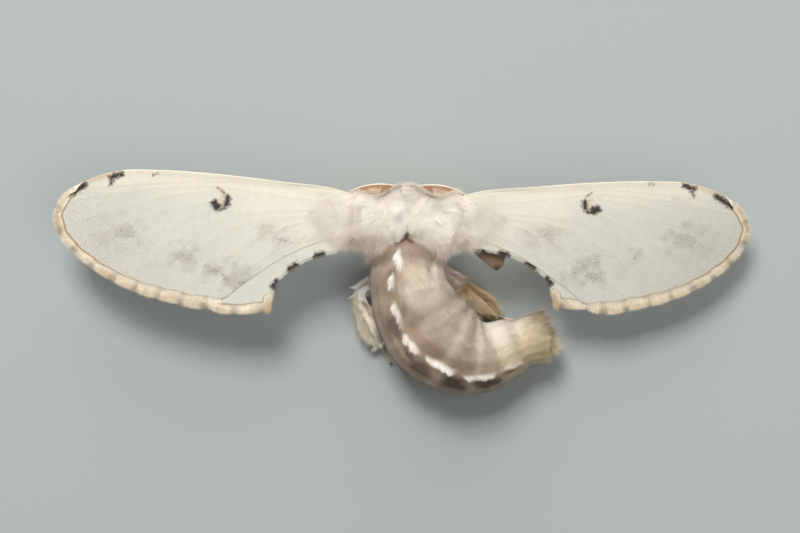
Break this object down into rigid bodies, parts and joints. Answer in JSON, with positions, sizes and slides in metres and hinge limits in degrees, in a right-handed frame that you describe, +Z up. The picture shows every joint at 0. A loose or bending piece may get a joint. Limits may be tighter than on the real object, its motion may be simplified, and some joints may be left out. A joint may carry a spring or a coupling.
{
  "type": "silk moth",
  "caption": "Life-size white silk moth at rest: long narrow forewings held out flat, hindwings tucked beneath, combed antennae and a stout furry abdomen curled to its right.",
  "frame": {"origin": "on the floor under the middle of the bounding box, close behind the rear edge of the thorax", "axes": "+Z up, -Y ahead of the head, +X towards the moth's left wing tip"},
  "size_m": [0.0484, 0.0156, 0.0069],
  "materials": {
    "wing": "thin scaled wing membrane, cream white, with ochre veins and edge line and small black marks",
    "ruff": "long soft white hair",
    "head": "short white hair",
    "eye": "dark brown, glossy, finely faceted",
    "antenna": "orange-brown combs on a white shaft",
    "abdomen": "short flat taupe hair with white tufts along the back and darker patches outside them",
    "tail": "tan brush of hair",
    "leg": "cream and olive-grey hair",
    "foot": "pinkish brown scaled foot with dark claws"
  },
  "bodies": {
    "root": {"abdomen_1": "abdomen", "abdomen_2": "abdomen", "abdomen_3": "abdomen", "abdomen_4": "abdomen", "abdomen_5": "abdomen", "abdomen_6": "abdomen", "abdomen_7": "abdomen", "antenna_left": "antenna", "antenna_right": "antenna", "collar": "ruff", "eye_left": "eye", "eye_right": "eye", "fore_coxa_left": "leg", "fore_coxa_right": "leg", "fore_femur_left": "leg", "fore_femur_right": "leg", "fore_tarsus_left": "foot", "fore_tarsus_right": "foot", "fore_tibia_left": "leg", "fore_tibia_right": "leg", "forewing_left": "wing", "forewing_right": "wing", "head": "head", "hind_coxa_left": "leg", "hind_coxa_right": "leg", "hind_femur_left": "leg", "hind_femur_right": "leg", "hind_tarsus_left": "foot", "hind_tarsus_right": "foot", "hind_tibia_left": "leg", "hind_tibia_right": "leg", "hindwing_left": "wing", "hindwing_right": "wing", "mid_coxa_left": "leg", "mid_coxa_right": "leg", "mid_femur_left": "leg", "mid_femur_right": "leg", "mid_tarsus_left": "foot", "mid_tarsus_right": "foot", "mid_tibia_left": "leg", "mid_tibia_right": "leg", "palp_left": "head", "palp_right": "head", "tail_tuft": "tail", "tegula_left": "ruff", "tegula_right": "ruff", "thorax": "ruff"}
  },
  "joints": []
}
